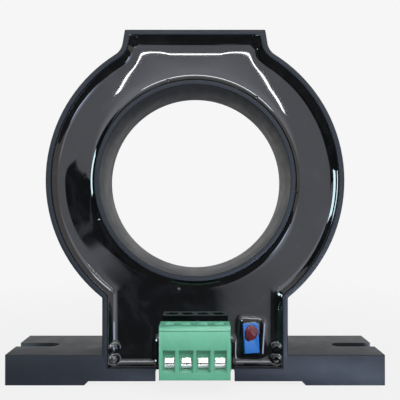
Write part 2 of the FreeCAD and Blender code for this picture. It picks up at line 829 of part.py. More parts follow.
def on_trimmer(item):
    """Puts an item drawn about the trimmer's own middle in its place, leaning as the trimmer does."""
    lean = FreeCAD.Rotation(FreeCAD.Vector(0, -1, 0), number("trimmer_tilt"))
    item.Placement = FreeCAD.Placement(FreeCAD.Vector(), lean)
    bind(item, "Placement.Base.x", TRIMMER_SHIFT)
    bind(item, "Placement.Base.z", TRIMMER_LINE)
    bind(item, "Placement.Rotation.Angle", "trimmer_tilt")
    return item


def lead_places():
    return [(TRIMMER_SHIFT, f"{TRIMMER_LINE} + {step} * lead_spacing") for step in (-1, 0, 1)]


ADJUSTER = "(trimmer_length / 2 - adjuster_inset)"


def build_trimmer_body():
    body = on_trimmer(new_body("trimmer_body"))
    block = front_sketch(body, BOARD_FRONT)
    centred_rectangle(block, "0", "0", "trimmer_width", "trimmer_length")
    pad(block, f"{BOARD_FRONT} - {TRIMMER_TOP}")
    round_edges(body, "trimmer_round", in_plane(TRIMMER_TOP))
    hole = front_sketch(body, TRIMMER_TOP)
    circle(hole, "0", ADJUSTER, "adjuster_radius")
    pocket(hole, "adjuster_length - adjuster_proud")
    return keep(body, "trimmer_body")


def build_adjuster():
    """The trimmer's slotted brass screw."""
    body = on_trimmer(new_body("trimmer_screw"))
    top = f"({TRIMMER_TOP} - adjuster_proud)"
    disc = front_sketch(body, f"{top} + adjuster_length")
    circle(disc, "0", ADJUSTER, "adjuster_radius")
    pad(disc, "adjuster_length")
    slot = front_sketch(body, top)
    length = "2 * (adjuster_radius + adjuster_slot)"
    centred_rectangle(slot, "0", ADJUSTER, length, "adjuster_slot")
    pocket(slot, "adjuster_slot")
    return keep(body, "trimmer_screw")


def build_seal(adjuster):
    """A drop of locking lacquer over the trimmer's screw."""
    drop = on_trimmer(new_body("seal_drop"))
    patch = front_sketch(drop, TRIMMER_TOP)
    centred_rectangle(patch, "0", ADJUSTER, "seal_width", "seal_length")
    pad(patch, "seal_height")
    round_edges(drop, "seal_round", lambda edge: runs_along(edge, 1))
    break_edges(drop, "seal_break", in_plane(f"{TRIMMER_TOP} - seal_height"))
    return keep(cut("trimmer_seal", drop, adjuster), "trimmer_seal")


def build_leads():
    rods = []
    for i, (x, z) in enumerate(lead_places()):
        length = "board_thick + pin_tail"
        rods.append(rod(f"trimmer_lead_{i}", x, z, f"{BOARD_BACK} + pin_tail", "lead_radius", length))
    return keep(group("trimmer_leads", rods), "trimmer_leads")


# Cores, windings and their magnetic shield, about the bore's axis

def build_magnetics():
    can_depth = "(shield_depth - lid_thick)"
    can = (SHIELD_OUTER, SHIELD_INNER, SHIELD_BACK, can_depth)
    keep(hollow_ring("shield_can", can, "shield_wall", open_front=True), "shield_can")
    lid_back = f"({SHIELD_BACK} - {can_depth})"
    keep(ring("shield_lid", SHIELD_OUTER, SHIELD_INNER, lid_back, "lid_thick"), "shield_lid")
    inset = "(shield_wall + coil_gap)"
    coil_back = f"({SHIELD_BACK} - {inset})"
    coil_depth = f"({can_depth} - {inset} - coil_gap)"
    coil = (f"({SHIELD_OUTER} - {inset})", f"({SHIELD_INNER} + {inset})", coil_back, coil_depth)
    keep(hollow_ring("feedback_winding", coil, "feedback_build"), "feedback_winding")
    inset = "(shield_wall + feedback_build + 2 * coil_gap)"
    drive_outer = f"({SHIELD_OUTER} - {inset})"
    drive_inner = f"({SHIELD_INNER} + {inset})"
    drive_depth = f"(({coil_depth} - 2 * feedback_build - 3 * coil_gap) / 2)"
    for i, name in enumerate(("back", "front")):
        back = f"({SHIELD_BACK} - {inset} - {i} * ({drive_depth} + coil_gap))"
        drive = (drive_outer, drive_inner, back, drive_depth)
        keep(hollow_ring(f"{name}_drive_winding", drive, "drive_build"), f"{name}_drive_winding")
        core = ring(
            f"{name}_core",
            f"{drive_outer} - drive_build",
            f"{drive_inner} + drive_build",
            f"({back} - drive_build)",
            f"({drive_depth} - 2 * drive_build)",
        )
        keep(core, f"{name}_core")
    return ring("shield_room", SHIELD_OUTER, SHIELD_INNER, SHIELD_BACK, "shield_depth")


def board_room():
    size = (BOARD_WIDTH, "board_thick", BOARD_HEIGHT)
    return box("board_room", "0", BOARD_FRONT, f"{BOARD_LOW} + {BOARD_HEIGHT} / 2", size)


def header_room():
    size = (HEADER_LENGTH, "header_height", "header_width")
    return box("header_room", "0", HEADER_RIM, PIN_LINE, size)


def build_all():
    fill_sheet()
    inserts = [build_housing(), board_room(), header_room(), build_magnetics()]
    build_board()
    build_header()
    inserts += [build_pin(way) for way in WAYS]
    inserts += build_components()
    build_plug()
    for way in WAYS:
        build_contact(way)
        build_clamp(way)
        build_clamp_screw(way)
    trimmer = build_trimmer_body()
    adjuster = build_adjuster()
    build_seal(adjuster)
    inserts += [trimmer, adjuster, build_leads()]
    build_potting(inserts)


def check_and_write():
    doc.recompute()
    for item in doc.Objects:
        if "Invalid" in item.State or "Error" in item.State:
            raise RuntimeError(f"{item.Name}: {item.State}")
    for item in parts:
        if item.Shape.isNull() or not item.Shape.isValid():
            raise RuntimeError(f"{item.Label}: the shape is empty or not valid")
    os.makedirs("parts", exist_ok=True)
    for item in parts:
        item.Shape.exportStep(f"parts/{item.Label}.step")
        print(item.Label, round(item.Shape.Volume, 1), len(item.Shape.Solids))


build_all()
check_and_write()
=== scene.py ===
import json
import math

import bmesh
import bpy
import numpy as np
from bpy.props import FloatProperty, FloatVectorProperty, IntProperty, PointerProperty
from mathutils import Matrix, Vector

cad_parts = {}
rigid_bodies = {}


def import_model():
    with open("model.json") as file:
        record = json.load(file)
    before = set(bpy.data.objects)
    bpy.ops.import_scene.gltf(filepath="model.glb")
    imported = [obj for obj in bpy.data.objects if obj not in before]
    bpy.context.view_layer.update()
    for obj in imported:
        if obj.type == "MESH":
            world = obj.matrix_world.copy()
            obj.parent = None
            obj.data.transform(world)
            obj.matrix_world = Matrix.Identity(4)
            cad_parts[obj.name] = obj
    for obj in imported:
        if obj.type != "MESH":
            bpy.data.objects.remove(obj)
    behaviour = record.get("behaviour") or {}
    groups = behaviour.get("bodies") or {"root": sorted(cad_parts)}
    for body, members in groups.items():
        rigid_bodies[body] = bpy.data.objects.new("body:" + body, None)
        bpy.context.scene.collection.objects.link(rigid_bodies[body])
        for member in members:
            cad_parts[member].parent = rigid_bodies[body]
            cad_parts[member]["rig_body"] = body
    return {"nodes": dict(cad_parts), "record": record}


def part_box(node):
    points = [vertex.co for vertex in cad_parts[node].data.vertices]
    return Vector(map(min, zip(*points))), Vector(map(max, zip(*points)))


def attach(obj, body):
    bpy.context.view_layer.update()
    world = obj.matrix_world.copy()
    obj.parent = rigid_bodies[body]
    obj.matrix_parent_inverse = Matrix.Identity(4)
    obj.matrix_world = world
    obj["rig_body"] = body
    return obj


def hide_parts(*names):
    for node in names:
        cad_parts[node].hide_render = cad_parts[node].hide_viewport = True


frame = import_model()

bl_info = {
    "name": "Leakage current sensor looks",
    "version": (1, 0, 0),
    "blender": (4, 5, 0),
    "location": "3D View > Sidebar > Sensor",
    "description": "Finishes a potted ring sensor with a plug-in terminal around its packed parts",
    "category": "Object",
}

# Everything is in metres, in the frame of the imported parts: -Y is the potted front and +Z is up.
MM = 0.001
HOUSING_LOW, HOUSING_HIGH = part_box("housing")
HEADER_LOW, HEADER_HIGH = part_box("terminal_header")
TRIMMER_LOW, TRIMMER_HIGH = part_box("trimmer_body")
POTTING_LOW, POTTING_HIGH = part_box("potting")
BORE_RADIUS = next(m["dims"]["r_mm"] for m in frame["record"]["mounts"] if m["name"] == "bore") * MM
MATERIALS = {}  # filled once by materials_by_slot
SLOTS = {part["node"]: part["material_slot"] for part in frame["record"]["subparts"]}


# Colours and shader nodes

def linear(code):
    """A hex colour as linear red, green, blue and alpha."""
    parts = [int(code[i:i + 2], 16) / 255 for i in (1, 3, 5)]
    return [c / 12.92 if c <= 0.04045 else ((c + 0.055) / 1.055) ** 2.4 for c in parts] + [1.0]


BACKDROP = linear("#F6F6F6")
SKY_BLUE = (0.62, 0.74, 1.0)
ROOM_TINT = (0.95, 0.99, 1.1)
MOULD_SPREAD = 0.06
PLATING_SPREAD = 0.12


def colour_property(name, description, code):
    """A colour setting whose default is a hex colour."""
    return FloatVectorProperty(name=name, description=description, default=linear(code)[:3],
                               subtype="COLOR", min=0.0, max=1.0)


def length_property(name, description, default):
    """A length setting, in metres."""
    return FloatProperty(name=name, description=description, default=default, unit="LENGTH",
                         subtype="DISTANCE", precision=5)


def add_node(tree, kind, links=None, values=None, **settings):
    """Adds a shader node with its settings, the values of its sockets and the links into them."""
    node = tree.nodes.new(kind)
    for name, value in settings.items():
        setattr(node, name, value)
    for socket, value in (values or {}).items():
        node.inputs[socket].default_value = value
    for socket, source in (links or {}).items():
        tree.links.new(source, node.inputs[socket])
    return node


def per_metre(size_in_mm):
    """The scale that makes a pattern repeat at a size in millimetres on Object coordinates."""
    return 1 / (size_in_mm * MM)


def set_ramp(node, stops):
    """Sets a colour ramp's stops from pairs of place and linear colour."""
    ramp = node.color_ramp
    while len(ramp.elements) > 2:
        ramp.elements.remove(ramp.elements[-1])
    for element, (place, colour) in zip(ramp.elements, (stops[0], stops[-1])):
        element.position, element.color = place, colour
    for place, colour in stops[1:-1]:
        ramp.elements.new(place).color = colour


def shade(colour, factor):
    """A lighter or darker neighbour of a linear colour."""
    return [min(1.0, c * factor) for c in colour[:3]] + [1.0]


def start_material(name):
    """A new material with its tree, shader, and the piece's own coordinates in metres."""
    material = bpy.data.materials.new(name)
    material.use_nodes = True
    tree = material.node_tree
    shader = tree.nodes["Principled BSDF"]
    place = add_node(tree, "ShaderNodeTexCoord").outputs["Object"]
    return material, tree, shader, place


def set_shader(shader, **values):
    """Sets sockets of the shader, named with underlines for spaces."""
    for name, value in values.items():
        shader.inputs[name.replace("_", " ")].default_value = value


def speckled_colour(tree, place, colour, grain_mm, spread):
    """A colour that varies a little with a fine noise, as pigment and dust do."""
    noise = add_node(tree, "ShaderNodeTexNoise", {"Vector": place},
                     {"Scale": per_metre(grain_mm), "Detail": 4.0, "Roughness": 0.6})
    ramp = add_node(tree, "ShaderNodeValToRGB", {"Fac": noise.outputs["Fac"]})
    set_ramp(ramp, [(0.3, shade(colour, 1 - spread)), (0.7, shade(colour, 1 + spread))])
    return ramp.outputs["Color"]


def ranged(tree, source, low, high, start=0.3, end=0.7):
    """A noise value stretched to a range."""
    node = add_node(tree, "ShaderNodeMapRange", {"Value": source},
                    {"From Min": start, "From Max": end, "To Min": low, "To Max": high})
    return node.outputs["Result"]


def moulded_abs():
    """Black ABS moulded in a spark-eroded tool: a fine even grain that breaks up every reflection,
    with a little grey dust and rub on it."""
    colours = bpy.context.scene.sensor_finish
    material, tree, shader, place = start_material("moulded_abs_spark_texture")
    grain = add_node(tree, "ShaderNodeTexNoise", {"Vector": place},
                     {"Scale": per_metre(0.35), "Detail": 3.0, "Roughness": 0.55})
    rub = add_node(tree, "ShaderNodeTexNoise", {"Vector": place},
                   {"Scale": per_metre(9.0), "Detail": 5.0, "Roughness": 0.65})
    bump = add_node(tree, "ShaderNodeBump", {"Height": grain.outputs["Fac"]},
                    {"Strength": 0.5, "Distance": 0.03 * MM})
    colour = speckled_colour(tree, place, list(colours.housing), 0.5, 0.25)
    tree.links.new(colour, shader.inputs["Base Color"])
    tree.links.new(ranged(tree, rub.outputs["Fac"], 0.42, 0.56), shader.inputs["Roughness"])
    tree.links.new(bump.outputs["Normal"], shader.inputs["Normal"])
    set_shader(shader, IOR=1.5, Specular_IOR_Level=0.2)
    return material


def cast_epoxy():
    """Black two-part epoxy, poured and cured: a mirror, with a few specks of dust under its skin
    and a faint grey film where it was wiped."""
    colours = bpy.context.scene.sensor_finish
    material, tree, shader, place = start_material("cast_epoxy")
    wave = add_node(tree, "ShaderNodeTexNoise", {"Vector": place},
                    {"Scale": per_metre(14.0), "Detail": 1.0, "Roughness": 0.4})
    speck = add_node(tree, "ShaderNodeTexVoronoi", {"Vector": place}, {"Scale": per_metre(2.6)})
    dot = ranged(tree, speck.outputs["Distance"], 1.0, 0.0, 0.02, 0.06)
    height = add_node(tree, "ShaderNodeMath", {0: dot, 1: wave.outputs["Fac"]}, operation="ADD")
    bump = add_node(tree, "ShaderNodeBump", {"Height": height.outputs["Value"]},
                    {"Strength": 0.35, "Distance": 0.02 * MM})
    rough = add_node(tree, "ShaderNodeMath", {0: dot}, {1: 0.12, 2: 0.03}, operation="MULTIPLY_ADD")
    film = add_node(tree, "ShaderNodeTexNoise", {"Vector": place},
                    {"Scale": per_metre(11.0), "Detail": 6.0, "Roughness": 0.62, "Distortion": 1.2})
    haze = add_node(tree, "ShaderNodeValToRGB", {"Fac": film.outputs["Fac"]})
    black = list(colours.potting)
    set_ramp(haze, [(0.35, shade(black, 0.8)), (0.52, shade(black, 1.3)), (0.68, shade(black, 4.5))])
    tree.links.new(haze.outputs["Color"], shader.inputs["Base Color"])
    tree.links.new(rough.outputs["Value"], shader.inputs["Roughness"])
    tree.links.new(bump.outputs["Normal"], shader.inputs["Normal"])
    set_shader(shader, IOR=1.56)
    return material


def moulded_plastic(name, colour, ior, rough, grain_mm, depth_mm):
    """A satin moulding: colour with faint flow marks and a fine tool grain."""
    material, tree, shader, place = start_material(name)
    flow = add_node(tree, "ShaderNodeTexNoise", {"Vector": place},
                    {"Scale": per_metre(3.5), "Detail": 3.0, "Distortion": 0.8})
    grain = add_node(tree, "ShaderNodeTexNoise", {"Vector": place},
                     {"Scale": per_metre(grain_mm), "Detail": 2.0})
    bump = add_node(tree, "ShaderNodeBump", {"Height": grain.outputs["Fac"]},
                    {"Strength": 0.4, "Distance": depth_mm * MM})
    ramp = add_node(tree, "ShaderNodeValToRGB", {"Fac": flow.outputs["Fac"]})
    set_ramp(ramp, [(0.25, shade(colour, 1 - MOULD_SPREAD)), (0.75, shade(colour, 1 + MOULD_SPREAD))])
    tree.links.new(ramp.outputs["Color"], shader.inputs["Base Color"])
    roughness = ranged(tree, flow.outputs["Fac"], rough - 0.05, rough + 0.07)
    tree.links.new(roughness, shader.inputs["Roughness"])
    tree.links.new(bump.outputs["Normal"], shader.inputs["Normal"])
    set_shader(shader, IOR=ior)
    return material


def plated_metal(name, colour, rough, streak_mm):
    """A pressed or turned metal with a thin plating: bright, with fine drawn lines and dull patches."""
    material, tree, shader, place = start_material(name)
    stretch = add_node(tree, "ShaderNodeMapping", {"Vector": place}, {"Scale": (1.0, 0.15, 1.0)})
    lines = add_node(tree, "ShaderNodeTexNoise", {"Vector": stretch.outputs["Vector"]},
                     {"Scale": per_metre(streak_mm), "Detail": 4.0})
    patch = add_node(tree, "ShaderNodeTexNoise", {"Vector": place},
                     {"Scale": per_metre(1.3), "Detail": 3.0})
    bump = add_node(tree, "ShaderNodeBump", {"Height": lines.outputs["Fac"]},
                    {"Strength": 0.4, "Distance": 0.01 * MM})
    ramp = add_node(tree, "ShaderNodeValToRGB", {"Fac": patch.outputs["Fac"]})
    set_ramp(ramp, [(0.3, shade(colour, 1 - PLATING_SPREAD)), (0.7, colour[:3] + [1.0])])
    tree.links.new(ramp.outputs["Color"], shader.inputs["Base Color"])
    tree.links.new(ranged(tree, patch.outputs["Fac"], rough + 0.1, rough), shader.inputs["Roughness"])
    tree.links.new(bump.outputs["Normal"], shader.inputs["Normal"])
    set_shader(shader, Metallic=1.0)
    return material


def brushed_lacquer():
    """Red screw-locking lacquer, dabbed on with a brush: glossy, streaked and thin at its edges."""
    colours = bpy.context.scene.sensor_finish
    material, tree, shader, place = start_material("locking_lacquer")
    streak = add_node(tree, "ShaderNodeMapping", {"Vector": place}, {"Scale": (1.0, 1.0, 0.35)})
    noise = add_node(tree, "ShaderNodeTexNoise", {"Vector": streak.outputs["Vector"]},
                     {"Scale": per_metre(0.9), "Detail": 4.0, "Distortion": 0.6})
    ramp = add_node(tree, "ShaderNodeValToRGB", {"Fac": noise.outputs["Fac"]})
    red = list(colours.lacquer)
    set_ramp(ramp, [(0.3, shade(red, 0.55)), (0.55, shade(red, 1.0)), (0.75, shade(red, 1.5))])
    bump = add_node(tree, "ShaderNodeBump", {"Height": noise.outputs["Fac"]},
                    {"Strength": 0.6, "Distance": 0.12 * MM})
    tree.links.new(ramp.outputs["Color"], shader.inputs["Base Color"])
    tree.links.new(bump.outputs["Normal"], shader.inputs["Normal"])
    set_shader(shader, Roughness=0.3, IOR=1.48)
    return material


def materials_by_slot():
    """One material for each slot of the record, made once."""
    if "made" not in MATERIALS:
        colours = bpy.context.scene.sensor_finish
        MATERIALS["made"] = {
            "housing_abs": moulded_abs(),
            "potting_epoxy": cast_epoxy(),
            "green_polyamide": moulded_plastic("moulded_polyamide", list(colours.plug),
                                               1.53, 0.36, 0.25, 0.01),
            "blue_thermoplastic": moulded_plastic("moulded_polyester", list(colours.trimmer),
                                                  1.55, 0.3, 0.3, 0.008),
            "tin_plate": plated_metal("tinned_bronze", list(colours.tin), 0.22, 0.12),
            "zinc_steel": plated_metal("zinc_plated_steel", list(colours.zinc), 0.24, 0.15),
            "brass": plated_metal("turned_brass", linear("#D2AA5C"), 0.2, 0.1),
            "red_lacquer": brushed_lacquer(),
            "board_laminate": moulded_plastic("solder_mask", linear("#1F6B3A"), 1.5, 0.3, 0.6, 0.01),
            "copper_wire": plated_metal("enamelled_copper", linear("#B4693A"), 0.3, 0.35),
            "core_alloy": plated_metal("core_strip", linear("#A7ABB2"), 0.35, 0.2),
            "chip_plastic": moulded_plastic("chip_compound", linear("#1C1C1E"), 1.55, 0.5, 0.2, 0.01),
            "capacitor_can": plated_metal("drawn_aluminium", linear("#C9CCD1"), 0.25, 0.2),
            "resistor_ceramic": moulded_plastic("fired_ceramic", linear("#2B2B30"), 1.6, 0.45, 0.2, 0.005),
        }
    return MATERIALS["made"]


def paint(piece, slot):
    """Gives a piece the one material of a record slot."""
    piece.data.materials.clear()
    piece.data.materials.append(materials_by_slot()[slot])


# Meshes

EDGE_SEGMENTS = 2
EDGE_ANGLE = math.radians(35.0)
SMOOTH_DEGREES = 40.0


def new_piece(name, bm):
    """An object at the origin from a bmesh whose vertices are already in place."""
    mesh = bpy.data.meshes.new(name)
    bm.to_mesh(mesh)
    bm.free()
    piece = bpy.data.objects.new(name, mesh)
    bpy.context.scene.collection.objects.link(piece)
    return piece


def merged_copy(node):
    """A bmesh of a CAD node with its loose triangles joined."""
    bm = bmesh.new()
    bm.from_mesh(frame["nodes"][node].data)
    bmesh.ops.remove_doubles(bm, verts=bm.verts, dist=0.002 * MM)
    return bm


def smooth_by_angle(piece, degrees):
    """Smooth shading, kept sharp across edges that turn more than an angle."""
    mesh = piece.data
    mesh.shade_smooth()
    mesh.set_sharp_from_angle(angle=math.radians(degrees))


def softened(node, name, width):
    """A copy of a CAD node with its sharp edges rounded, standing for that node."""
    piece = new_piece(name, merged_copy(node))
    bevel = piece.modifiers.new("edge_round", "BEVEL")
    bevel.width = width
    bevel.segments = EDGE_SEGMENTS
    bevel.limit_method = "ANGLE"
    bevel.angle_limit = EDGE_ANGLE
    bevel.harden_normals = True
    smooth_by_angle(piece, SMOOTH_DEGREES)
    place_on_body(piece, node)
    return piece


def place_on_body(piece, node):
    """Lets a piece ride where its CAD node rides, stand for it and take its finish."""
    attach(piece, frame["nodes"][node]["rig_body"])
    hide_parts(node)
    paint(piece, SLOTS[node])


# Epoxy fill

FADE_POWER = 1.35  # how square the meniscus is at its foot
LOW_SHARE = 0.25  # the part of the sink that is left in the lower half
FULL_SINK_AT = 14 * MM  # how far above the bore's axis the sink is whole
SINK_LIMIT = 1.2
POST_RADIUS = 0.9 * MM
POST_SLOPE = 0.6 * MM
BUBBLE_RADIUS = 0.3 * MM
NORMAL_NUDGE = 0.01 * MM
LARGEST_REACH = 0.08


def smooth_larger(a, b, reach):
    """The larger of two distances, blended where they are within reach of each other."""
    blend = np.maximum(reach - np.abs(a - b), 0.0) / reach
    return np.maximum(a, b) + blend * blend * reach / 4


def distance_to_block(x, z, low, high, lean=0.0):
    """Distance from points to a block seen from the front, leaning about its middle."""
    middle_x, middle_z = (low.x + high.x) / 2, (low.z + high.z) / 2
    turned_x = (x - middle_x) * math.cos(lean) - (z - middle_z) * math.sin(lean)
    turned_z = (x - middle_x) * math.sin(lean) + (z - middle_z) * math.cos(lean)
    out_x = np.maximum(np.abs(turned_x) - (high.x - low.x) / 2, 0.0)
    out_z = np.maximum(np.abs(turned_z) - (high.z - low.z) / 2, 0.0)
    return np.hypot(out_x, out_z)


def side_wall_distance(x, z, sizes, neck_blend, head_blend):
    """Distance in from the outer side wall: the ring's arc, the neck's sides and the head's."""
    arc = sizes.ring_inner - np.hypot(x, z)
    neck = np.where(z < 0, sizes.neck_inner - np.abs(x), -1.0)
    head_line = sizes.head_inner + sizes.head_flare * (POTTING_HIGH.z - z) / sizes.head_height
    head = np.where(z > 0, head_line - np.abs(x), -1.0)
    return smooth_larger(smooth_larger(arc, neck, neck_blend), head, head_blend)


def post_places(sizes):
    """Tips of the housing's locating posts, seen from the front."""
    neck = sizes.neck_inner - 1.8 * MM
    low = HOUSING_LOW.z + 11.0 * MM
    head = sizes.head_inner - 1.0 * MM
    top = HOUSING_HIGH.z - 2.8 * MM
    right = [(neck, low), (neck, low - 3.5 * MM), (head, top)]
    return right + [(-x, z) for x, z in right]


def bubble_places():
    """Small bubbles that rose to the skin of the fill, most of them beside the tube."""
    places = ((32.2, -3.6), (-8.6, 31.9), (-30.4, -12.6), (19.6, 26.6), (-5.2, -34.4))
    return [(x * MM, z * MM) for x, z in places]


def fill_height(x, z, sizes):
    """How far the cured surface stands above its level, drawn up at each wall that it wets."""
    side = side_wall_distance(x, z, sizes, sizes.neck_blend, sizes.head_blend)
    top = POTTING_HIGH.z - z
    trimmer = distance_to_block(x, z, sizes.trimmer_low, sizes.trimmer_high, sizes.trimmer_lean)
    walls = [  # distance, and the shares of the meniscus's height and reach
        (side, 1.0, 1.0),
        (np.hypot(x, z) - sizes.tube_radius, 0.85, 0.9),
        (z - POTTING_LOW.z, 1.2, 0.7),
        (top, 1.0, 1.0),
        (distance_to_block(x, z, HEADER_LOW, HEADER_HIGH), 0.9, 0.8),
        (trimmer, 0.95, 0.7),
    ]
    height = np.zeros_like(x)
    for distance, rise, spread in walls:
        fade = np.exp(-(np.maximum(distance, 0.0) / (spread * sizes.meniscus_reach)) ** FADE_POWER)
        height += rise * sizes.meniscus_height * fade
    broad_side = side_wall_distance(x, z, sizes, sizes.sink_blend, sizes.sink_blend)
    nearest = -smooth_larger(-broad_side, -top, sizes.sink_blend)
    upper = np.clip(z / FULL_SINK_AT, 0.0, 1.0)
    share = LOW_SHARE + (1 - LOW_SHARE) * upper * upper * (3 - 2 * upper)
    height += share * sizes.sink_height * np.clip(1 - nearest / sizes.sink_reach, 0.0, SINK_LIMIT) ** 2
    for post_x, post_z in post_places(sizes):
        away = np.maximum(np.hypot(x - post_x, z - post_z) - POST_RADIUS, 0.0)
        height += sizes.post_proud * np.exp(-(away / POST_SLOPE) ** 2)
    for bubble_x, bubble_z in bubble_places():
        away = np.hypot(x - bubble_x, z - bubble_z)
        height += sizes.bubble_proud * np.exp(-(away / BUBBLE_RADIUS) ** 2)
    return height


def outer_radius(angle, sizes):
    """How far the cavity's wall lies from the bore's axis in one direction, found by halving."""
    near, far = sizes.ring_inner * 0.97, LARGEST_REACH
    for _ in range(24):
        middle = (near + far) / 2
        x, z = np.array([middle * math.cos(angle)]), np.array([middle * math.sin(angle)])
        inside = side_wall_distance(x, z, sizes, sizes.neck_blend, sizes.head_blend)[0] > -sizes.seat
        inside = inside and POTTING_LOW.z - sizes.seat < z[0] < POTTING_HIGH.z + sizes.seat
        near, far = (middle, far) if inside else (near, middle)
    return near


def graded_steps(count, pull):
    """Steps from 0 to 1 that lie closer together at both ends."""
    steps = np.linspace(-1.0, 1.0, count)
    return (np.tanh(pull * steps) / math.tanh(pull) + 1) / 2


class FillSizes:
    """The fill's sizes with the places that it takes from the frame."""

    def __init__(self, settings):
        for name in ("level", "meniscus_height", "meniscus_reach", "sink_height", "sink_reach",
                     "sink_blend", "post_proud", "bubble_proud", "neck_blend", "head_blend"):
            setattr(self, name, getattr(settings, name))
        self.tube_radius = BORE_RADIUS + 1.6 * MM
        self.ring_inner = 45.15 * MM
        self.neck_inner = 27.4 * MM
        self.head_inner = 20.4 * MM
        self.head_flare = 1.125 * MM
        self.head_height = 5.95 * MM
        self.seat = 0.25 * MM
        self.trimmer_lean = math.radians(3.5)
        half_x, half_z = 2.4 * MM, 4.75 * MM
        middle = (TRIMMER_LOW + TRIMMER_HIGH) / 2
        self.trimmer_low = Vector((middle.x - half_x, 0, middle.z - half_z))
        self.trimmer_high = Vector((middle.x + half_x, 0, middle.z + half_z))


def cast_fill(settings):
    """The fill as one closed solid: a sheet rolled round the bore, with a fine graded surface."""
    sizes = FillSizes(settings)
    spokes = settings.spokes
    angles = np.linspace(0, 2 * math.pi, spokes, endpoint=False)
    reach = np.array([outer_radius(a, sizes) for a in angles])
    inner = sizes.tube_radius - sizes.seat
    rows = []
    for step in graded_steps(settings.rings, 1.5):
        radius = inner + (reach - inner) * step
        x, z = radius * np.cos(angles), radius * np.sin(angles)
        rows.append(np.stack([x, sizes.level - fill_height(x, z, sizes), z], axis=1))
    back_y = POTTING_HIGH.y - 0.05 * MM
    outer_back, inner_back = rows[-1].copy(), rows[0].copy()
    outer_back[:, 1] = inner_back[:, 1] = back_y
    rows += [outer_back, inner_back, rows[0]]
    bm = bmesh.new()
    bmesh.ops.create_grid(bm, x_segments=spokes, y_segments=len(rows) - 1, size=1.0)
    for vert in bm.verts:
        spoke = round((vert.co.x + 1) / 2 * spokes) % spokes
        row = round((vert.co.y + 1) / 2 * (len(rows) - 1))
        vert.co = rows[row][spoke]
    bmesh.ops.remove_doubles(bm, verts=bm.verts, dist=0.001 * MM)
    bmesh.ops.recalc_face_normals(bm, faces=bm.faces)
    return new_piece("epoxy_fill", bm), sizes


def set_fill_normals(piece, sizes):
    """Exact normals on the cured surface, so that it reflects like the liquid it was."""
    mesh = piece.data
    mesh.shade_smooth()
    place = np.zeros(len(mesh.vertices) * 3, np.float32)
    mesh.vertices.foreach_get("co", place)
    x, y, z = place.reshape(-1, 3).astype(float).T
    step = NORMAL_NUDGE
    slope_x = (fill_height(x + step, z, sizes) - fill_height(x - step, z, sizes)) / (2 * step)
    slope_z = (fill_height(x, z + step, sizes) - fill_height(x, z - step, sizes)) / (2 * step)
    normal = np.stack([-slope_x, -np.ones_like(x), -slope_z], axis=1)
    normal /= np.linalg.norm(normal, axis=1)[:, None]
    corner_vertex = np.zeros(len(mesh.loops), np.int32)
    mesh.loops.foreach_get("vertex_index", corner_vertex)
    corner_normals = normal[corner_vertex]
    for polygon in mesh.polygons:
        if polygon.normal.y > -0.3:
            for corner in polygon.loop_indices:
                corner_normals[corner] = polygon.normal
    mesh.normals_split_custom_set(corner_normals.tolist())


class SensorFinish(bpy.types.PropertyGroup):
    """Colours of the sensor's materials."""
    housing: colour_property("Housing", "Black ABS of the housing", "#181B20")
    potting: colour_property("Potting", "Black epoxy of the fill", "#08090B")
    plug: colour_property("Plug", "Green polyamide of the terminal", "#5AA888")
    trimmer: colour_property("Trimmer", "Blue of the trimmer", "#146CC4")
    tin: colour_property("Tin", "Tin plating of contacts and pins", "#C9C8C2")
    zinc: colour_property("Zinc", "Zinc plating of clamps and screws", "#C4C6C9")
    lacquer: colour_property("Lacquer", "Red locking lacquer", "#5E1620")


class FillSettings(bpy.types.PropertyGroup):
    """Sizes of the epoxy fill's surface."""
    level: length_property("Level", "Place of the flat surface along Y", -11.5 * MM)
    meniscus_height: length_property("Meniscus height", "How far the epoxy is drawn up a wall", 1.3 * MM)
    meniscus_reach: length_property("Meniscus reach", "Distance over which that rise fades", 1.15 * MM)
    sink_height: length_property("Sink", "How far the fill sank from the outer wall as it cured", 0.58 * MM)
    sink_reach: length_property("Sink reach", "Distance over which that sinking spreads", 10.5 * MM)
    sink_blend: length_property("Sink blend", "How broadly that sinking rounds the outline", 8.0 * MM)
    post_proud: length_property("Post bump", "Height of the epoxy over a locating post", 0.7 * MM)
    bubble_proud: length_property("Bubble bump", "Height of the skin over a bubble", 0.2 * MM)
    neck_blend: length_property("Neck blend", "Blend where ring and neck meet", 0.9 * MM)
    head_blend: length_property("Head blend", "Blend where ring and head meet", 2.9 * MM)
    spokes: IntProperty(name="Spokes", description="Steps round the fill's surface", default=1200, min=90)
    rings: IntProperty(name="Rings", description="Steps across the fill's surface", default=66, min=12)


class LacquerSettings(bpy.types.PropertyGroup):
    """Shape of the lacquer dab on the trimmer."""
    thickness: length_property("Thickness", "How far the dab stands off the trimmer", 0.62 * MM)
    wander: FloatProperty(name="Wander", description="How unevenly its edge runs", default=0.09,
                          subtype="FACTOR")
    lump: FloatProperty(name="Lump", description="How uneven its top is", default=0.05, subtype="FACTOR")


